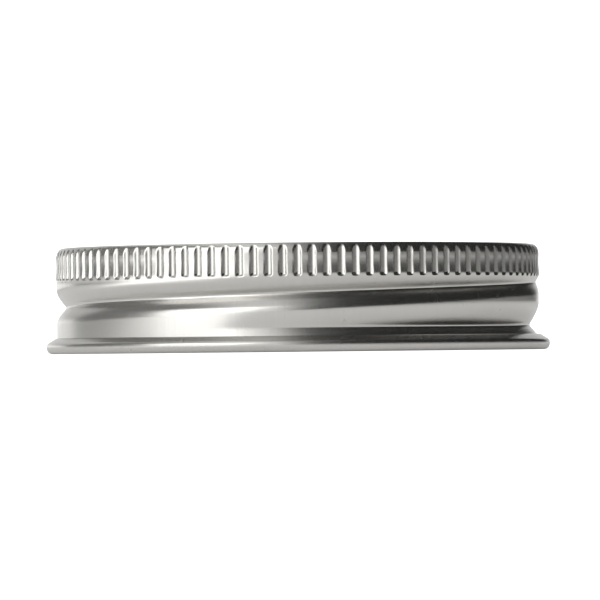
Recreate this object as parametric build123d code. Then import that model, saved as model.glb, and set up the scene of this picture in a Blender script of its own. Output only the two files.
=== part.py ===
from build123d import *
import math
import os

# Continuous thread metal cap, 70 mm class, lengths in mm, +Z up.
# The cap stands mouth down on its rolled edge, with the origin on the axis at the foot.

# Sheet
SHEET = 0.23                    # tinplate thickness, the same in every wall

# Skirt and top
SKIRT_R = 35.35                 # outside radius of the plain skirt
HEIGHT = 15.4                   # foot of the curl to the top of the rim
SHOULDER_R = 1.7                # outside bend between the grip band and the rim
RIM_FLAT = 2.0                  # width of the level rim that a stacked jar stands on
PANEL_DROP = 0.6                # depth of the centre panel below the rim
PANEL_SLOPE = 0.5               # width of the sloping step round the panel

# Knurled grip band
BAND_PROUD = 0.05               # the band stands this far out from the skirt
GRIP_LENGTH = 4.65              # top of the rim down to where the grooves are still at full depth
FLUTES = 108                    # vertical grooves round the band
FLUTE_SHARE = 0.6               # width of a groove as a share of the pitch
FLUTE_DEPTH = 0.36              # how far a groove is pressed in
FLUTE_RUNOUT = 0.35             # height of the slope that closes a groove at its foot

# Rolled thread
THREAD_LEAD = 6.35              # rise in one turn, four threads to the inch
THREAD_DEPTH = 1.4              # how far the sheet is pressed in
THREAD_BELOW_BAND = 2.45        # foot of the grip band down to the valley at the front
THREAD_UPPER = 2.1              # valley to the upper edge of the groove
THREAD_LOWER = 1.9              # valley to the lower edge of the groove
VALLEY_HALF = 0.3               # half the height of the flat valley
LIP_SHARE = 0.3                 # share of each flank that is eased next to the skirt
LIP_DEPTH = 0.2                 # depth reached by the eased part
THREAD_TOP_TURN = 126.0         # degrees from the front to the upper end
THREAD_TOP_FADE = 96.0          # length of the upper fade in degrees
THREAD_FOOT_TURN = -384.0       # degrees from the front to the lower end
THREAD_FOOT_FADE = 75.0         # length of the lower fade in degrees
LEVEL_OFF_TURN = -245.0         # below this angle the valley levels off towards the mouth
LEVEL_OFF_SPAN = 66.0           # degrees in which it becomes level
THREAD_SECTIONS = 46            # sections that carry the groove round the skirt

# Curled edge
CURL_PROUD = 1.55               # the curl stands this far out from the skirt
CURL_WIDE_Z = 1.15              # height of its widest place
CURL_TOP_BEND = 0.5             # outside radius of the bend above that
CURL_SLOPE = 58.0               # lean of the curl's upper side, degrees from upright
RAW_EDGE_GAP = 0.08             # the raw edge stops just short of the skirt

# Sealing compound in the channel under the rim
GASKET_DEPTH = 0.95
GASKET_GAP = 0.06               # clearance to the panel's step and to the shoulder bend

# Places that follow from the sizes above
CURL_R = SKIRT_R + CURL_PROUD
RIM_R = SKIRT_R + BAND_PROUD - SHOULDER_R
PANEL_R = RIM_R - RIM_FLAT - PANEL_SLOPE
FLUTE_FOOT_Z = HEIGHT - GRIP_LENGTH
THREAD_FRONT_Z = FLUTE_FOOT_Z - THREAD_BELOW_BAND

FRONT = -90.0                   # the side that is looked at, as an angle in plan
MARGIN = 0.5                    # how far a forming tool reaches past the sheet


def arc_points(centre, radius, first, last, steps):
    """Points at equal turns on an arc of a section, ends included, angles in degrees."""
    points = []
    for index in range(steps + 1):
        turn = math.radians(first + (last - first) * index / steps)
        points.append((centre[0] + radius * math.cos(turn), centre[1] + radius * math.sin(turn)))
    return points


def turned(points):
    """A closed section of radius and height, revolved about the axis."""
    with BuildPart() as ring:
        with BuildSketch(Plane.XZ):
            with BuildLine():
                Polyline(*points, close=True)
            make_face()
        revolve(axis=Axis.Z)
    return ring.part


def fluted_face(radius, depth, height):
    """Plan of the grip band at a height, with grooves of a depth."""
    pitch = 360 / FLUTES
    points = []
    for index in range(FLUTES):
        middle = FRONT + index * pitch
        for side, reach in ((-0.5, radius), (0, radius - depth), (0.5, radius)):
            turn = math.radians(middle + side * FLUTE_SHARE * pitch)
            points.append((reach * math.cos(turn), reach * math.sin(turn)))
    with BuildSketch(Plane.XY.offset(height)) as plan:
        with BuildLine():
            Polyline(*points, close=True)
        make_face()
    return plan.sketch.face()


def faceted_form(sections, turn):
    """Ruled form through regular plans with a side for each groove, a corner at a turn from the front."""
    plans = []
    for radius, height in sections:
        plan = RegularPolygon(radius, FLUTES, major_radius=False, rotation=FRONT + turn)
        plans.append((Plane.XY.offset(height) * plan).face())
    return loft(plans, ruled=True)


def cup_form(inset):
    """The cap without its thread and curl as a filled form, its faces moved inward by inset."""
    half_pitch = 180 / FLUTES
    mouth = curl_bend()
    wall = SKIRT_R - inset
    band = wall + BAND_PROUD
    top = HEIGHT - inset
    bend = SHOULDER_R - inset
    strips = 3 if inset == 0 else 2
    shoulder = arc_points((band - bend, top - bend), bend, 0, 90, strips)
    steepness = (shoulder[1][1] - shoulder[0][1]) / (shoulder[1][0] - shoulder[0][0])
    shoulder[0] = (band + MARGIN, shoulder[0][1] + steepness * MARGIN)
    shoulder.insert(0, (band + MARGIN, mouth))
    valley = band - FLUTE_DEPTH
    foot = FLUTE_FOOT_Z - inset / 2
    low = foot - FLUTE_RUNOUT
    grip = extrude(fluted_face(band, FLUTE_DEPTH, low), amount=HEIGHT - low)
    grip &= faceted_form(shoulder, 0)
    start = low - MARGIN * FLUTE_RUNOUT / (wall - valley)
    runout = [(wall + MARGIN, mouth), (wall + MARGIN, start), (valley, foot)]
    skirt = extrude(Plane.XY.offset(mouth) * Circle(wall), amount=foot - mouth)
    skirt &= faceted_form(runout, half_pitch)
    drop_r = PANEL_R + inset
    recess = turned([
        (0, top - PANEL_DROP),
        (drop_r, top - PANEL_DROP),
        (drop_r + PANEL_SLOPE, top),
        (drop_r + 2 * PANEL_SLOPE, top + PANEL_DROP),
        (0, top + PANEL_DROP),
    ])
    return grip + skirt - recess


def valley_height(turn):
    """Height of the thread's valley at a turn from the front, level towards the mouth."""
    past = min(LEVEL_OFF_SPAN, max(0.0, LEVEL_OFF_TURN - turn))
    climb = max(turn, LEVEL_OFF_TURN - LEVEL_OFF_SPAN) + past * past / (2 * LEVEL_OFF_SPAN)
    return THREAD_FRONT_Z + THREAD_LEAD / 360 * climb


def thread_share(turn):
    """Share of the full depth at a turn from the front, fading at both ends."""
    up = (THREAD_TOP_TURN - turn) / THREAD_TOP_FADE
    down = (turn - THREAD_FOOT_TURN) / THREAD_FOOT_FADE
    part = max(0.0, min(1.0, up, down))
    return math.sin(part * math.pi / 2) ** 1.5


def groove_section(turn, inset):
    """Section of the thread's forming tool at a turn, for the sheet face that lies inset under."""
    floor_r = SKIRT_R - inset + MARGIN / 5 - (THREAD_DEPTH + MARGIN / 5) * thread_share(turn)
    lip_r = floor_r + THREAD_DEPTH - LIP_DEPTH
    edge_r = floor_r + THREAD_DEPTH
    far_r = edge_r + MARGIN
    slope_gain = inset * math.tan(math.pi / 8)
    points = []
    for reach, way in ((THREAD_UPPER, 1), (THREAD_LOWER, -1)):
        side = []
        flat = VALLEY_HALF + slope_gain
        lip = reach * (1 - LIP_SHARE) + slope_gain
        edge = reach + slope_gain
        side.append((floor_r, way * flat))
        side.append((lip_r, way * lip))
        side.append((far_r, way * (edge + (edge - lip) * MARGIN / LIP_DEPTH)))
        points += side if way > 0 else side[::-1]
    angle = math.radians(FRONT + turn)
    plane = Plane(
        origin=(0, 0, valley_height(turn)),
        x_dir=(math.cos(angle), math.sin(angle), 0),
        z_dir=(math.sin(angle), -math.cos(angle), 0),
    )
    with BuildSketch(plane) as section:
        with BuildLine():
            Polyline(*points, close=True)
        make_face()
    return section.sketch.face()


def thread_tool(inset):
    """The forming tool of the thread along the whole groove."""
    step = (THREAD_TOP_TURN - THREAD_FOOT_TURN) / THREAD_SECTIONS
    turns = [THREAD_FOOT_TURN + index * step for index in range(THREAD_SECTIONS + 1)]
    return loft([groove_section(turn, inset) for turn in turns], ruled=True)


def curl_bend():
    """Outside radius of the half turn at the foot, which is also the height at which it starts."""
    return (CURL_R - (SKIRT_R - SHEET)) / 2


def curl():
    """The rolled edge as a revolved strip of sheet, hollow inside."""
    bend = curl_bend()
    centre = (CURL_R - bend, bend)
    crown = (CURL_R - CURL_TOP_BEND, CURL_WIDE_Z)
    outer = arc_points(centre, bend, 180, 360, 6)
    outer += arc_points(crown, CURL_TOP_BEND, 0, CURL_SLOPE, 1)
    inner = arc_points(crown, CURL_TOP_BEND - SHEET, CURL_SLOPE, 0, 1)
    inner += arc_points(centre, bend - SHEET, 360, 180, 3)[1:]
    lean = math.radians(CURL_SLOPE)
    length = (inner[0][0] - SKIRT_R - RAW_EDGE_GAP) / math.sin(lean)
    step = (-length * math.sin(lean), length * math.cos(lean))
    raw_edge = [(x + step[0], z + step[1]) for x, z in (outer[-1], inner[0])]
    return turned(outer + raw_edge + inner)


def cap_shell():
    """One sheet: top, shoulder, knurled and threaded skirt and curled edge."""
    outside = cup_form(0) - thread_tool(0)
    inside = cup_form(SHEET) - thread_tool(SHEET)
    return outside - inside + curl()


def sealing_gasket():
    """The ring of sealing compound under the rim."""
    roof = HEIGHT - SHEET
    inner = PANEL_R + PANEL_SLOPE + SHEET + GASKET_GAP
    outer = RIM_R - GASKET_GAP
    return turned([
        (inner, roof),
        (inner, roof - GASKET_DEPTH),
        (outer, roof - GASKET_DEPTH),
        (outer, roof),
    ])


os.makedirs("parts", exist_ok=True)
for name, shape in (("cap_shell", cap_shell()), ("sealing_gasket", sealing_gasket())):
    export_step(shape, f"parts/{name}.step")
    print(name, "volume", round(shape.volume, 1), "solids", len(shape.solids()))
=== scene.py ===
# %% [markdown]
# # A metal screw cap, from its section to the studio
# The cap is one thin sheet of tinplate: drawn to a cup, knurled for the fingers, rolled for the
# thread and curled at its open edge. It stands mouth down, as it would on a shelf.
# The measured model is loaded first. It fixes every size, and what is built here stays inside it.

import bpy
import math
from mathutils import Matrix, Vector


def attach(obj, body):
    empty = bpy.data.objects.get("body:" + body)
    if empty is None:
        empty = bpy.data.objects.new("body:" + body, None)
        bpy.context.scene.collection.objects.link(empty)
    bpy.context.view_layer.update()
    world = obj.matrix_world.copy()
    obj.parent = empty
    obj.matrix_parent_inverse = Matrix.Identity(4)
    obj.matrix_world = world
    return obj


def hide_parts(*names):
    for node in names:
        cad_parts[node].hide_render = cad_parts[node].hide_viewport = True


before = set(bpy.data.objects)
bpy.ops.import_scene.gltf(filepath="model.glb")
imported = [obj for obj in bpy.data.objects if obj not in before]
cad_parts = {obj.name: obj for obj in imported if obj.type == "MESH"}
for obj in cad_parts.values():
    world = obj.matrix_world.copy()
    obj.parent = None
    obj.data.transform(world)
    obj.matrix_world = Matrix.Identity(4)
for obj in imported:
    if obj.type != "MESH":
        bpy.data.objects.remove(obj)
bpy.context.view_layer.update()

# %% [markdown]
# ## The camera
# The cap is seen from the side through a long lens, from just above the surface it stands on.
# A long lens keeps the near and the far side of the rim nearly the same size. The camera leans
# a little, because the cap in the photograph isn't quite level.

# %% Set the camera
MM = 0.001
FOCAL_PX = 5385.0
IMAGE_PX = 600
VIEW_DISTANCE = 790 * MM
EYE_HEIGHT = 0.7 * MM
MM_PER_PX = 0.1467
AXIS_X_PX = 297.8
FOOT_Y_PX = 351.6
LEAN = math.radians(-0.6)

horizon_px = FOOT_Y_PX - EYE_HEIGHT / MM / MM_PER_PX
pitch = math.atan((horizon_px - IMAGE_PX / 2) / FOCAL_PX)
yaw = -math.atan((IMAGE_PX / 2 - AXIS_X_PX) / FOCAL_PX)
camera_data = bpy.data.cameras.new("studio_camera")
camera_data.lens = FOCAL_PX / IMAGE_PX * camera_data.sensor_width
camera_data.clip_start = 0.01
camera_data.clip_end = 20
camera = bpy.data.objects.new("studio_camera", camera_data)
stand = Matrix.Translation((0, -VIEW_DISTANCE, EYE_HEIGHT))
aim = Matrix.Rotation(yaw, 4, "Z") @ Matrix.Rotation(math.pi / 2 + pitch, 4, "X")
camera.matrix_world = stand @ aim @ Matrix.Rotation(LEAN, 4, "Z")
bpy.context.collection.objects.link(camera)
bpy.context.scene.camera = camera
print("lens", round(camera_data.lens, 1), "mm, pitch", round(math.degrees(pitch), 2), "degrees")

# %% [markdown]
# ## Numbers that build nodes
# The sheet's shape follows a rule, so Geometry Nodes can make it. Long formulas are hard to read
# as single nodes, so this small class lets a formula be written as plain arithmetic.
# Each sign adds one Math node to the tree.

# %% A number that is a node's socket
class Num:
    tree = None

    def __init__(self, socket):
        self.socket = socket

    @classmethod
    def math(cls, operation, *values):
        node = cls.tree.nodes.new("ShaderNodeMath")
        node.operation = operation
        for slot, value in zip(node.inputs, values):
            if isinstance(value, Num):
                cls.tree.links.new(value.socket, slot)
            else:
                slot.default_value = value
        return Num(node.outputs[0])

    def __add__(self, other):
        return Num.math("ADD", self, other)

    def __radd__(self, other):
        return Num.math("ADD", other, self)

    def __sub__(self, other):
        return Num.math("SUBTRACT", self, other)

    def __rsub__(self, other):
        return Num.math("SUBTRACT", other, self)

    def __mul__(self, other):
        return Num.math("MULTIPLY", self, other)

    def __rmul__(self, other):
        return Num.math("MULTIPLY", other, self)

    def __truediv__(self, other):
        return Num.math("DIVIDE", self, other)

    def __rtruediv__(self, other):
        return Num.math("DIVIDE", other, self)

    def clamped(self):
        return Num.math("MINIMUM", Num.math("MAXIMUM", self, 0.0), 1.0)

    def eased(self):
        part = self.clamped()
        return part * part * (3.0 - 2.0 * part)


def add_node(tree, kind, **settings):
    node = tree.nodes.new(kind)
    for name, value in settings.items():
        setattr(node, name, value)
    return node


def open_socket(sockets, name):
    return [s for s in sockets if s.name == name and s.enabled][0]


def named_input(tree, name, kind, value):
    """Add a named size to a tree, and give back the identifier that a modifier knows it by."""
    socket = tree.interface.new_socket(name=name, in_out="INPUT", socket_type=kind)
    socket.default_value = value
    return socket.identifier


print("node arithmetic ready")

# %% [markdown]
# ## The section of the sheet
# A cap like this is drawn and rolled from one disc, so one line describes it: down from the centre
# of the top over the rim and the skirt, round inside the curl to the raw edge, and back along the
# other face. Every point says whether the grip band, the thread, both or neither shapes it.
# The line is worked out from a few sizes and arcs. Most are the sizes of the measured model. The
# shoulder bend is a little squarer, as in the photograph, and the band's face is slightly hollow.

# %% Sizes of the sheet in millimetres
SHEET = 0.23
SKIRT_R = 35.35
BAND_PROUD = 0.05
BAND_HOLLOW = 0.06
SHOULDER_BACK = 0.02
HEIGHT = 15.4
SHOULDER_WIDE = 0.9
SHOULDER_TALL = 1.5
PANEL_R = 31.2
PANEL_DROP = 0.6
PANEL_SLOPE = 0.5
RIM_FLAT = 2.0
STEP_BEND = 0.35
CURL_R = 36.9
CURL_WIDE_Z = 1.15
CURL_TOP_BEND = 0.5
CURL_SLOPE = 58.0
RAW_EDGE_GAP = 0.08
curl_bend = (CURL_R - (SKIRT_R - SHEET)) / 2


def arc(centre, radius, first, last, steps):
    points = []
    for index in range(steps + 1):
        angle = math.radians(first + (last - first) * index / steps)
        points.append((centre[0] + radius * math.cos(angle), centre[1] + radius * math.sin(angle)))
    return points


def line(start, end, steps):
    spread = [index / steps for index in range(steps + 1)]
    return [(start[0] + (end[0] - start[0]) * s, start[1] + (end[1] - start[1]) * s) for s in spread]


# %% The two faces of the sheet
def top_face(inset, steps):
    """Centre panel, sloping step and rim, from the axis outwards."""
    top = HEIGHT - inset
    panel = top - PANEL_DROP
    lean = math.degrees(math.atan2(PANEL_DROP, PANEL_SLOPE))
    low_bend = STEP_BEND + inset / 2
    high_bend = STEP_BEND - inset / 2
    inner_r = PANEL_R + inset * math.tan(math.radians(lean / 2))
    outer_r = inner_r + PANEL_SLOPE
    low_back = low_bend * math.tan(math.radians(lean / 2))
    high_back = high_bend * math.tan(math.radians(lean / 2))
    points = [(r, panel) for r in (0, 4, 12, 20, 27)]
    points += arc((inner_r - low_back, panel + low_bend), low_bend, -90, -90 + lean, steps)
    points += arc((outer_r + high_back, top - high_bend), high_bend, 90 + lean, 90, steps)
    return points


def side_face(inset, steps):
    """Shoulder bend and grip band, down to the band's foot."""
    band = SKIRT_R + BAND_PROUD - inset
    wide, tall = SHOULDER_WIDE - inset, SHOULDER_TALL - inset
    points = []
    for r, z in arc((0, 0), 1, 90, 0, steps):
        points.append((band - wide + wide * r - SHOULDER_BACK, HEIGHT - inset - tall + tall * z))
    hollow = ((13.3, 0.05), (12.6, BAND_HOLLOW), (12.0, 0.045), (11.5, 0.02), (11.3, 0.01), (11.15, 0))
    return points + [(band - back, height) for height, back in hollow]


def foot_face(inset):
    """From the band's foot down to the plain skirt, where the thread's first turn may reach up."""
    band = SKIRT_R + BAND_PROUD - inset
    upper = ((11.02, 0), (10.9, 0.002), (10.8, 0.006), (10.7, 0.012))
    lower = ((10.58, 0.02), (10.46, 0.03), (10.34, 0.04))
    return [(band - back, height) for height, back in upper + lower]


def skirt_face(inset, rows):
    """The wall that the thread is rolled into, down to where the curl begins."""
    wall = SKIRT_R - inset
    return line((wall, 10.2), (wall, 2.4), rows) + line((wall, 2.1), (wall, curl_bend + 0.1), 4)


def curl_faces():
    """The hidden face inside the curl, then the face that is seen, from raw edge to foot."""
    centre = (CURL_R - curl_bend, curl_bend)
    crown = (CURL_R - CURL_TOP_BEND, CURL_WIDE_Z)
    lean = math.radians(CURL_SLOPE)
    hidden = arc(centre, curl_bend - SHEET, 180, 360, 8)
    hidden += arc(crown, CURL_TOP_BEND - SHEET, 0, CURL_SLOPE, 3)
    seen = arc(crown, CURL_TOP_BEND, CURL_SLOPE, 0, 6)
    seen += arc(centre, curl_bend, 360, 180, 18)
    reach = (hidden[-1][0] - SKIRT_R - RAW_EDGE_GAP) / math.sin(lean)
    edge = (hidden[-1][0] - reach * math.sin(lean), hidden[-1][1] + reach * math.cos(lean))
    outer_edge = (seen[0][0] - reach * math.sin(lean), seen[0][1] + reach * math.cos(lean))
    middle = ((edge[0] + outer_edge[0]) / 2, (edge[1] + outer_edge[1]) / 2)
    rim = arc(middle, SHEET / 2, 90 + CURL_SLOPE + 90, CURL_SLOPE, 6)
    return hidden, rim, line(outer_edge, seen[0], 5)[1:-1] + seen


# %% Join the faces into one closed line
def row(points, band=0, skirt=0, under=0):
    return [(r, z, band, skirt, under) for r, z in points]


hidden, rim, seen = curl_faces()
section = row(top_face(0, 4)) + row(side_face(0, 10), band=1) + row(foot_face(0), band=1, skirt=1)
section += row(skirt_face(0, 32), skirt=1)
section += row(hidden) + row(rim) + row(seen)
section += row(skirt_face(SHEET, 16)[::-1], skirt=1, under=1)
section += row(foot_face(SHEET)[::-1], band=1, skirt=1, under=1)
section += row(side_face(SHEET, 4)[::-1], band=1, under=1)
section += row(top_face(SHEET, 3)[::-1], under=1)

profile_mesh = bpy.data.meshes.new("sheet_section")
spots = [(r * MM, 0, z * MM) for r, z, *_ in section]
links = [(i, i + 1) for i in range(len(section) - 1)]
profile_mesh.from_pydata(spots, links, [])
for place, name in enumerate(("band", "skirt", "under")):
    marks = profile_mesh.attributes.new(name, "FLOAT", "POINT")
    marks.data.foreach_set("value", [float(point[2 + place]) for point in section])
print("section points", len(section), "curl bend", round(curl_bend, 3))

# %% [markdown]
# ## Turning, knurling and rolling the sheet
# The tree takes the section line and makes a grid: one row of points for each point of the line,
# one column for each small turn. Every grid point is then placed by its angle. The knurl pulls
# the band in by a round groove 108 times, and the thread pulls the skirt in along a helix that
# fades at both ends. Its upper side never reaches past the foot of the band. Outside the band
# fewer columns are needed, so four are gathered into one and merged, which keeps the mesh light.

# %% Start the tree
tree = bpy.data.node_groups.new("pressed_sheet", "GeometryNodeTree")
Num.tree = tree
tree.interface.new_socket(name="Geometry", in_out="INPUT", socket_type="NodeSocketGeometry")
tree.interface.new_socket(name="Geometry", in_out="OUTPUT", socket_type="NodeSocketGeometry")
SIZES = {
    "Flutes": 108.0,
    "Columns a flute": 12.0,
    "Flute share": 0.54,
    "Flute depth": 0.36 * MM,
    "Flute edge": 2.5,
    "Flute foot": 10.56 * MM,
    "Flute runout": 0.45 * MM,
    "Band radius": (SKIRT_R + BAND_PROUD) * MM,
    "Sheet": SHEET * MM,
    "Lead": 6.35 * MM,
    "Thread depth": 1.4 * MM,
    "Thread front height": 8.3 * MM,
    "Valley half": 0.1 * MM,
    "Upper reach": 2.6 * MM,
    "Upper stretch": 0.9 * MM,
    "Lower reach": 2.4 * MM,
    "Band foot": 10.95 * MM,
    "Narrowing": 0.3,
    "Top turn": 118.0,
    "Top fade": 96.0,
    "Foot turn": -384.0,
    "Foot fade": 75.0,
    "Level off turn": -245.0,
    "Level off span": 66.0,
    "Curl start": curl_bend * MM,
}
identifiers = {name: named_input(tree, name, "NodeSocketFloat", value) for name, value in SIZES.items()}
tin_socket = tree.interface.new_socket(name="Finish", in_out="INPUT", socket_type="NodeSocketMaterial")
group_in = add_node(tree, "NodeGroupInput")
group_out = add_node(tree, "NodeGroupOutput")
size = {name: Num(group_in.outputs[name]) for name in SIZES}
print("named sizes", len(SIZES))

# %% A grid with one row for each point of the section
columns = size["Flutes"] * size["Columns a flute"]
count = add_node(tree, "GeometryNodeAttributeDomainSize", component="MESH")
tree.links.new(group_in.outputs["Geometry"], count.inputs[0])
rows = Num(count.outputs["Point Count"])
grid = add_node(tree, "GeometryNodeMeshGrid")
grid_sizes = {"Size X": columns, "Size Y": rows - 1.0, "Vertices X": columns + 1.0, "Vertices Y": rows}
for name, value in grid_sizes.items():
    tree.links.new(value.socket, grid.inputs[name])
position = add_node(tree, "GeometryNodeInputPosition")
flat = add_node(tree, "ShaderNodeSeparateXYZ")
tree.links.new(position.outputs[0], flat.inputs[0])
column = Num.math("ROUND", Num(flat.outputs[0]) + columns / 2.0)
index = Num.math("ROUND", Num(flat.outputs[1]) + (rows - 1.0) / 2.0)


def from_section(kind, field):
    """Read a value of the section line at this grid point's row."""
    sample = add_node(tree, "GeometryNodeSampleIndex", data_type=kind, domain="POINT")
    tree.links.new(group_in.outputs["Geometry"], sample.inputs["Geometry"])
    tree.links.new(field, open_socket(sample.inputs, "Value"))
    tree.links.new(index.socket, sample.inputs["Index"])
    return open_socket(sample.outputs, "Value")


def mark(name):
    node = add_node(tree, "GeometryNodeInputNamedAttribute", data_type="FLOAT")
    node.inputs["Name"].default_value = name
    return Num(from_section("FLOAT", open_socket(node.outputs, "Attribute")))


place = add_node(tree, "ShaderNodeSeparateXYZ")
tree.links.new(from_section("FLOAT_VECTOR", position.outputs[0]), place.inputs[0])
radius = Num(place.outputs[0])
height = Num(place.outputs[2])
in_band, in_skirt, under = mark("band"), mark("skirt"), mark("under")
inset = under * size["Sheet"]

# %% The angle of each column
# The distance from a flute's middle runs from 0 to 0.5 of the pitch. Inside the band the columns
# crowd at the flute's edges, so that its sides stay crisp, and elsewhere they are even.
EVEN_PART = 0.12
CROWDED_PACE = 0.45
WIDE_PACE = 1.7
GATHERED = 4.0
per_flute = size["Columns a flute"]
pitch_part = column / per_flute
local = pitch_part - Num.math("ROUND", pitch_part)
away = Num.math("ABSOLUTE", local)
at_edge = Num.math("MINIMUM", away, EVEN_PART + CROWDED_PACE * away)
crowded = Num.math("MAXIMUM", at_edge, WIDE_PACE * away - 0.5 * (WIDE_PACE - 1.0))
side = Num.math("SIGN", local)
band_turn = (Num.math("ROUND", pitch_part) + side * crowded) / size["Flutes"]
gathered = Num.math("ROUND", column / GATHERED) * GATHERED
even_turn = gathered / columns
share_turn = in_band * band_turn + (1.0 - in_band) * even_turn
degrees = share_turn * 360.0

# %% The flutes of the grip band
LIP_BLEND = 0.06 * MM
reach = crowded / (size["Flute share"] / 2.0)
round_groove = Num.math("MAXIMUM", 1.0 - Num.math("POWER", reach, size["Flute edge"]), 0.0)
foot_part = ((height + inset * 0.5 - size["Flute foot"]) / size["Flute runout"]).eased()
fluted = size["Band radius"] - inset - size["Flute depth"] * round_groove * foot_part
pressed = Num.math("SMOOTH_MIN", radius, fluted, LIP_BLEND)
open_land = Num.math("GREATER_THAN", round_groove, 0.001)
grip = in_band * open_land
radius = grip * pressed + (1.0 - grip) * radius


# %% The thread, one turn above the other
LEAST_REACH = 0.6 * MM
BEND_GAIN = 0.41
CURL_CLEARANCE = 1.3 * MM


def valley(turn):
    span = size["Level off span"]
    past = Num.math("MINIMUM", Num.math("MAXIMUM", size["Level off turn"] - turn, 0.0), span)
    climb = Num.math("MAXIMUM", turn, size["Level off turn"] - span) + past * past / (2.0 * span)
    return size["Thread front height"] + size["Lead"] / 360.0 * climb


def fade(turn):
    up = (size["Top turn"] - turn) / size["Top fade"]
    down = (turn - size["Foot turn"]) / size["Foot fade"]
    part = Num.math("MINIMUM", up, down).clamped()
    return Num.math("POWER", Num.math("SINE", part * (math.pi / 2)), 1.5)


def groove(turn):
    """How far the sheet is pressed in at this turn: a rounded V with eased lips.

    The upper side is longer in the lower of the two turns, from the front over the right to the
    back, and the lower side narrows towards the upper end. Both are wider on the hidden face.
    """
    climb = height - valley(turn)
    above = Num.math("GREATER_THAN", climb, 0.0)
    room_above = Num.math("MAXIMUM", size["Band foot"] - valley(turn), LEAST_REACH)
    second_turn = ((turn + 360.0) / 50.0).clamped() * ((-180.0 - turn) / 40.0).clamped()
    upper = Num.math("MINIMUM", size["Upper reach"] + size["Upper stretch"] * second_turn, room_above)
    lower = size["Lower reach"] * (1.0 - size["Narrowing"] * (turn / 60.0).clamped())
    reach = above * upper + (1.0 - above) * lower + inset * BEND_GAIN
    start = size["Valley half"] + inset * BEND_GAIN
    part = (Num.math("ABSOLUTE", climb) - start) / (reach - start)
    gap = 1.0 - part.clamped()
    return fade(turn) * gap * gap * (1.0 + 0.5 * part.clamped())


turn_here = degrees - 360.0 * Num.math("GREATER_THAN", degrees, 180.0)
both = groove(turn_here) + groove(turn_here - 360.0)
above_curl = ((height - size["Curl start"]) / CURL_CLEARANCE).eased()
radius = radius - in_skirt * size["Thread depth"] * both * above_curl

# %% Place, merge and finish
angle = (degrees - 90.0) * (math.pi / 180)
spot = add_node(tree, "ShaderNodeCombineXYZ")
spot_parts = (radius * Num.math("COSINE", angle), radius * Num.math("SINE", angle), height)
for value, slot in zip(spot_parts, spot.inputs):
    tree.links.new(value.socket, slot)
moved = add_node(tree, "GeometryNodeSetPosition")
merge = add_node(tree, "GeometryNodeMergeByDistance")
merge.inputs["Distance"].default_value = 0.002 * MM
smooth = add_node(tree, "GeometryNodeSetShadeSmooth")
real = add_node(tree, "GeometryNodeRealizeInstances")
finish = add_node(tree, "GeometryNodeSetMaterial")
tree.links.new(grid.outputs["Mesh"], moved.inputs["Geometry"])
tree.links.new(spot.outputs[0], moved.inputs["Position"])
chain = [moved, merge, smooth, real, finish, group_out]
for before, after in zip(chain, chain[1:]):
    tree.links.new(before.outputs[0], after.inputs[0])
tree.links.new(group_in.outputs["Finish"], finish.inputs["Material"])
print("nodes in the sheet's tree", len(tree.nodes))

# %% [markdown]
# ## Bright tinplate
# Tinplate is steel with a thin layer of tin. The sheet keeps the fine straight lines of rolling on
# its top, and the drawing and the rollers leave upright lines on the skirt. Tin also has small
# dull specks. All of it comes from noise in the object's own coordinates: the angle and the
# height on the skirt, plain x and y on the top.

# %% Helpers for materials
def new_material(name):
    material = bpy.data.materials.new(name)
    material.use_nodes = True
    nodes = material.node_tree.nodes
    Num.tree = material.node_tree
    return material, nodes["Principled BSDF"]


def noise(tree, vector, scale, detail, roughness=0.5):
    node = add_node(tree, "ShaderNodeTexNoise")
    node.inputs["Scale"].default_value = scale
    node.inputs["Detail"].default_value = detail
    node.inputs["Roughness"].default_value = roughness
    tree.links.new(vector, node.inputs["Vector"])
    return Num(node.outputs[0])


def vector_of(tree, *parts):
    node = add_node(tree, "ShaderNodeCombineXYZ")
    for part, slot in zip(parts, node.inputs):
        tree.links.new(part.socket, slot)
    return node.outputs[0]


def blend_colours(tree, factor, first, second):
    node = add_node(tree, "ShaderNodeMix", data_type="RGBA")
    tree.links.new(factor.socket, node.inputs[0])
    node.inputs[6].default_value = (*first, 1)
    node.inputs[7].default_value = (*second, 1)
    return node.outputs[2]


# %% The tinplate finish
# The top's own lines end softly at this radius, and lie above this height.
TOP_R = 34.2 * MM
TOP_R_FADE = 1.2 * MM
TOP_Z = 13.5 * MM
TOP_Z_FADE = 0.5 * MM
TIN = (0.60, 0.592, 0.565)
TIN_DULL = (0.47, 0.462, 0.442)
tin, shader = new_material("bright_tinplate")
nodes = tin.node_tree
where = add_node(nodes, "ShaderNodeTexCoord")
xyz = add_node(nodes, "ShaderNodeSeparateXYZ")
nodes.links.new(where.outputs["Object"], xyz.inputs[0])
x, y, z = (Num(xyz.outputs[i]) for i in range(3))
around = Num.math("ARCTAN2", x, -1.0 * y)
out = Num.math("SQRT", x * x + y * y)
on_top = ((TOP_R - out) / TOP_R_FADE).clamped() * ((z - TOP_Z) / TOP_Z_FADE).clamped()
upright = noise(nodes, vector_of(nodes, around * 2.4, z * 0.9, out * 0.6), 60.0, 4.0, 0.7)
rolled = noise(nodes, vector_of(nodes, x * 1.5, y * 70.0, z), 60.0, 4.0, 0.7)
lines = on_top * rolled + (1.0 - on_top) * upright
cloud = noise(nodes, where.outputs["Object"], 160.0, 3.0)
fine = noise(nodes, where.outputs["Object"], 2600.0, 2.0)

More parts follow.
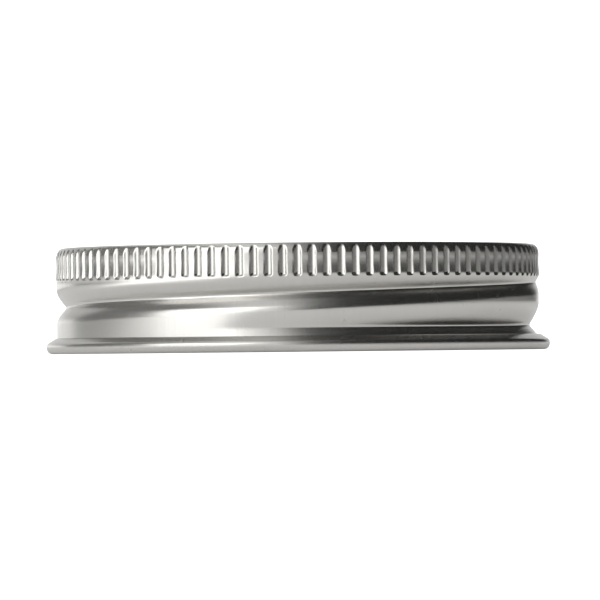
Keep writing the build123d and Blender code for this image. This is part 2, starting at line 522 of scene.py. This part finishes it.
# %% Specks, colour, roughness and relief
# Specks sit in some cells of a cell pattern. Lines, clouds and specks dull the polished base.
SPECK_SIZE = 0.09
SPECK_CHOICE = 0.6
POLISH = 0.17
speck_cells = add_node(nodes, "ShaderNodeTexVoronoi")
speck_cells.inputs["Scale"].default_value = 330.0
nodes.links.new(where.outputs["Object"], speck_cells.inputs["Vector"])
speck_reach = Num(speck_cells.outputs["Distance"])
chosen = Num.math("GREATER_THAN", noise(nodes, where.outputs["Object"], 95.0, 0.0), SPECK_CHOICE)
speck = chosen * (1.0 - (speck_reach / SPECK_SIZE)).clamped()
dull = (0.35 * cloud + 0.5 * (lines - 0.35) + 0.8 * speck).clamped()
nodes.links.new(blend_colours(nodes, dull, TIN, TIN_DULL), shader.inputs["Base Color"])
rough = POLISH + 0.1 * lines + 0.06 * cloud + 0.2 * speck + 0.06 * on_top
nodes.links.new(rough.socket, shader.inputs["Roughness"])
shader.inputs["Metallic"].default_value = 1.0
shader.inputs["Anisotropic"].default_value = 0.5
tangent = add_node(nodes, "ShaderNodeTangent", direction_type="RADIAL", axis="Z")
nodes.links.new(tangent.outputs[0], shader.inputs["Tangent"])
relief = add_node(nodes, "ShaderNodeBump")
relief.inputs["Strength"].default_value = 0.2
relief.inputs["Distance"].default_value = 0.012 * MM
nodes.links.new((0.6 * lines + 0.4 * fine).socket, relief.inputs["Height"])
nodes.links.new(relief.outputs[0], shader.inputs["Normal"])
print("tinplate nodes", len(nodes.nodes))


# %% Run the tree and keep a plain mesh
def run_tree(name, mesh, tree, values):
    """Set the inputs by identifier, evaluate, and give back a plain mesh object."""
    source = bpy.data.objects.new(name + "_source", mesh)
    bpy.context.collection.objects.link(source)
    modifier = source.modifiers.new("shape", "NODES")
    modifier.node_group = tree
    for identifier, value in values.items():
        modifier[identifier] = value
    shaped = source.evaluated_get(bpy.context.evaluated_depsgraph_get())
    result = bpy.data.meshes.new_from_object(shaped)
    source.modifiers.remove(modifier)
    bpy.data.objects.remove(source)
    piece = bpy.data.objects.new(name, result)
    bpy.context.collection.objects.link(piece)
    return piece


values = {identifiers[name]: value for name, value in SIZES.items()}
values[tin_socket.identifier] = tin
shell = run_tree("pressed_shell", profile_mesh, tree, values)
triangles = sum(len(face.vertices) - 2 for face in shell.data.polygons)
spread = [max(v.co[axis] for v in shell.data.vertices) for axis in range(3)]
print("shell triangles", triangles, "reach", [round(s * 1000, 2) for s in spread])

# %% Check that the sheet is closed and its faces look outwards
import bmesh

check = bmesh.new()
check.from_mesh(shell.data)
open_edges = sum(1 for edge in check.edges if len(edge.link_faces) != 2)
volume = check.calc_volume(signed=True)
if volume < 0:
    bmesh.ops.reverse_faces(check, faces=check.faces)
    check.to_mesh(shell.data)
check.free()
print("open edges", open_edges, "sheet's volume in mm3", round(abs(volume) * 1e9, 1))
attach(shell, "root")
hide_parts("cap_shell")

# %% [markdown]
# ## The sealing ring
# Under the rim lies a ring of soft compound. It is poured in as a liquid while the cap spins, so
# its free face is slightly hollow and its edges climb the metal. A section turned about the axis
# gives that, with a small noise for the slow flow of the liquid.

# %% Make the sealing ring
GASKET_GAP = 0.06
GASKET_DEPTH = 0.95
FACE_HOLLOW = 0.132
ROOF_GAP = 0.01
RING_STEPS = 240
ring_in = PANEL_R + PANEL_SLOPE + SHEET + GASKET_GAP
ring_out = PANEL_R + PANEL_SLOPE + RIM_FLAT - GASKET_GAP
roof = HEIGHT - SHEET - ROOF_GAP
half = (ring_out - ring_in) / 2
lower = []
for step in range(13):
    across = -1 + step / 6
    lower.append((ring_in + half + half * across, roof - GASKET_DEPTH + FACE_HOLLOW * (1 - across ** 4)))
outline = [(ring_in, roof)] + lower + [(ring_out, roof)]
ring = bmesh.new()
loops = []
for step in range(RING_STEPS):
    angle = 2 * math.pi * step / RING_STEPS
    wave = 0.02 * math.sin(5 * angle + 0.4) + 0.012 * math.sin(11 * angle)
    points = []
    for number, (r, z) in enumerate(outline):
        free = 0 < number < len(outline) - 1
        lift = wave + 0.032 if free else 0
        points.append(ring.verts.new((r * MM * math.cos(angle), r * MM * math.sin(angle), (z + lift) * MM)))
    loops.append(points)
for step in range(RING_STEPS):
    here, there = loops[step], loops[(step + 1) % RING_STEPS]
    for number in range(len(outline)):
        after = (number + 1) % len(outline)
        ring.faces.new((here[number], here[after], there[after], there[number]))
bmesh.ops.recalc_face_normals(ring, faces=ring.faces)
ring_mesh = bpy.data.meshes.new("sealing_ring")
ring.to_mesh(ring_mesh)
ring.free()
ring_mesh.shade_smooth()
ring_mesh.set_sharp_from_angle(angle=math.radians(50))
seal = bpy.data.objects.new("sealing_ring", ring_mesh)
bpy.context.collection.objects.link(seal)
print("sealing ring faces", len(ring_mesh.polygons))

# %% The compound's finish
compound, soft = new_material("sealing_compound")
nodes = compound.node_tree
where = add_node(nodes, "ShaderNodeTexCoord")
flow = noise(nodes, where.outputs["Object"], 120.0, 3.0)
grit = noise(nodes, where.outputs["Object"], 1800.0, 2.0)
nodes.links.new(blend_colours(nodes, flow, (0.80, 0.78, 0.72), (0.72, 0.69, 0.62)), soft.inputs["Base Color"])
nodes.links.new((0.42 + 0.12 * grit).socket, soft.inputs["Roughness"])
soft.inputs["Subsurface Weight"].default_value = 0.1
soft.inputs["Subsurface Scale"].default_value = 0.0008
relief = add_node(nodes, "ShaderNodeBump")
relief.inputs["Strength"].default_value = 0.25
relief.inputs["Distance"].default_value = 0.03 * MM
nodes.links.new((0.7 * flow + 0.3 * grit).socket, relief.inputs["Height"])
nodes.links.new(relief.outputs[0], soft.inputs["Normal"])
ring_mesh.materials.append(compound)
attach(seal, "root")
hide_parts("sealing_gasket")

# %% [markdown]
# ## The studio
# Bright metal shows its surroundings, so the studio is built for its reflections. The floor is
# pale, a large soft light stands at the left front, a white backdrop hangs behind, and the room is
# bright at the left and dark at the right. Faces that look down show the floor, and faces that
# look up show the soft light or the dark side of the room. The floor and the backdrop have a glow
# that only the metal sees: a pool round the cap, a broad sheen at the left front where a glossy
# table would show the light, and a backdrop that fades upwards. The camera sees white all round.
# It looks through the backdrop's rear face, so that a view from behind isn't blocked.

# %% Helpers for floor and backdrop
def stage_plane(name, corners, material):
    mesh = bpy.data.meshes.new(name)
    mesh.from_pydata([Vector(c) for c in corners], [], [(0, 1, 2, 3)])
    mesh.materials.append(material)
    obj = bpy.data.objects.new(name, mesh)
    bpy.context.collection.objects.link(obj)
    return obj


def pale_surface(name, colour, seen_glow, pool):
    """A matt pale surface that is lifted towards white where the camera or the metal sees it."""
    material, shader = new_material(name)
    nodes = material.node_tree
    shader.inputs["Base Color"].default_value = (*colour, 1)
    shader.inputs["Roughness"].default_value = 0.9
    shader.inputs["Specular IOR Level"].default_value = 0.1
    path = add_node(nodes, "ShaderNodeLightPath")
    seen = Num(path.outputs["Is Camera Ray"]) * seen_glow
    where = add_node(nodes, "ShaderNodeTexCoord")
    xyz = add_node(nodes, "ShaderNodeSeparateXYZ")
    nodes.links.new(where.outputs["Object"], xyz.inputs[0])
    mirrored = Num(path.outputs["Is Glossy Ray"]) * pool(*(Num(xyz.outputs[i]) for i in range(3)))
    through = Num(path.outputs["Is Transmission Ray"]) * seen_glow
    shader.inputs["Emission Color"].default_value = (1, 1, 1, 1)
    nodes.links.new((seen + mirrored + through).socket, shader.inputs["Emission Strength"])
    return material


def clear_from_behind(material):
    """Let the camera look through the rear face of a surface with this material."""
    nodes = material.node_tree
    Num.tree = nodes
    facing = add_node(nodes, "ShaderNodeNewGeometry")
    path = add_node(nodes, "ShaderNodeLightPath")
    behind = Num(facing.outputs["Backfacing"]) * Num(path.outputs["Is Camera Ray"])
    clear = add_node(nodes, "ShaderNodeBsdfTransparent")
    faces = add_node(nodes, "ShaderNodeMixShader")
    shader_sockets = (behind.socket, nodes.nodes["Principled BSDF"].outputs[0], clear.outputs[0])
    for socket, slot in zip(shader_sockets, faces.inputs):
        nodes.links.new(socket, slot)
    nodes.links.new(faces.outputs[0], nodes.nodes["Material Output"].inputs["Surface"])


# %% The glow that the metal sees, in metres and in degrees from the camera's side towards the left
FLOOR_GLOW = 0.04
POOL_GLOW = 0.08
POOL_REACH = 0.13
SHEEN_GLOW = 1.3
SHEEN_FROM = 20.0
SHEEN_TO = 88.0
SHEEN_EDGE = 14.0
SHEEN_STARTS = 0.045
SHEEN_RISE = 0.04
BACKDROP_GLOW = 0.05
BACKDROP_FOOT_GLOW = 0.75
BACKDROP_FADE = 0.3


def floor_pool(x, y, z):
    """Light pooled on the floor round the cap, and the soft light's own sheen on it at the left front."""
    away = Num.math("SQRT", x * x + y * y)
    pool = 1.0 / (1.0 + away * away / (POOL_REACH * POOL_REACH))
    bearing = Num.math("ARCTAN2", -1.0 * x, -1.0 * y) * (180 / math.pi)
    sheen = ((bearing - SHEEN_FROM) / SHEEN_EDGE).eased() * ((SHEEN_TO - bearing) / SHEEN_EDGE).eased()
    return FLOOR_GLOW + POOL_GLOW * pool + SHEEN_GLOW * sheen * ((away - SHEEN_STARTS) / SHEEN_RISE).eased()


def backdrop_pool(x, y, z):
    """The backdrop is bright at its foot and fades upwards."""
    return BACKDROP_GLOW + BACKDROP_FOOT_GLOW * (1.0 - z / BACKDROP_FADE).eased()


# %% Lay the floor and hang the backdrop
floor_look = pale_surface("pale_floor", (0.8, 0.8, 0.8), 0.5, floor_pool)
backdrop_look = pale_surface("white_backdrop", (0.8, 0.8, 0.8), 1.0, backdrop_pool)
clear_from_behind(backdrop_look)
FLOOR_HALF = 3.0
BEHIND = 0.9
BACKDROP_TALL = 0.9
BACKDROP_LEFT = -1.0
BACKDROP_RIGHT = 0.36
floor_corners = [(x * FLOOR_HALF, y * FLOOR_HALF, 0) for x, y in ((-1, -1), (1, -1), (1, 1), (-1, 1))]
backdrop_foot = [(BACKDROP_LEFT, BEHIND, 0), (BACKDROP_RIGHT, BEHIND, 0)]
backdrop_top = [(BACKDROP_RIGHT, BEHIND, BACKDROP_TALL), (BACKDROP_LEFT, BEHIND, BACKDROP_TALL)]
stage_plane("floor", floor_corners, floor_look)
stage_plane("backdrop", backdrop_foot + backdrop_top, backdrop_look)
print("floor and backdrop ready")


# %% The soft light and the room
def soft_light(name, azimuth, distance, height, width, tall, power):
    """A large flat lamp, aimed at the cap. Azimuth is measured from the camera, left is negative."""
    lamp = bpy.data.lights.new(name, "AREA")
    lamp.shape = "RECTANGLE"
    lamp.size = width
    lamp.size_y = tall
    lamp.energy = power
    obj = bpy.data.objects.new(name, lamp)
    a = math.radians(azimuth)
    obj.location = (distance * math.sin(a), -distance * math.cos(a), height)
    aim = Vector((0, 0, 0.008)) - obj.location
    obj.rotation_euler = aim.to_track_quat("-Z", "Y").to_euler()
    obj.visible_camera = False
    bpy.context.collection.objects.link(obj)
    return obj


soft_light("left_softbox", azimuth=-47, distance=0.55, height=0.23, width=0.5, tall=0.46, power=1.55)

# %% The room that the metal sees
# Across is -1 at the far left and 1 at the far right. The matt pieces get an even light.
ROOM_DARK = 0.012
ROOM_LEFT = 0.2
ROOM_FRONT = 0.8
MATT_LIGHT = 0.8
world = bpy.data.worlds.new("studio_room")
bpy.context.scene.world = world
world.use_nodes = True
room = world.node_tree
Num.tree = room
room_out = room.nodes["World Output"]
glow = room.nodes["Background"]
direction = add_node(room, "ShaderNodeTexCoord")
parts = add_node(room, "ShaderNodeSeparateXYZ")
room.links.new(direction.outputs["Generated"], parts.inputs[0])
across = Num(parts.outputs[0])
left_half = ((0.12 - across) / 0.3).eased()
inside = ((across + 0.56) / 0.2).eased()
mirrored = ROOM_DARK + left_half * (ROOM_LEFT + ROOM_FRONT * inside)
path = add_node(room, "ShaderNodeLightPath")
glossy = Num(path.outputs["Is Glossy Ray"])
diffuse = Num(path.outputs["Is Diffuse Ray"])
level = glossy * mirrored + diffuse * MATT_LIGHT + (1.0 - glossy - diffuse)
room.links.new(level.socket, glow.inputs["Strength"])
glow.inputs["Color"].default_value = (1, 1, 1, 1)

scene = bpy.context.scene
scene.view_settings.view_transform = "Standard"
print("studio ready")
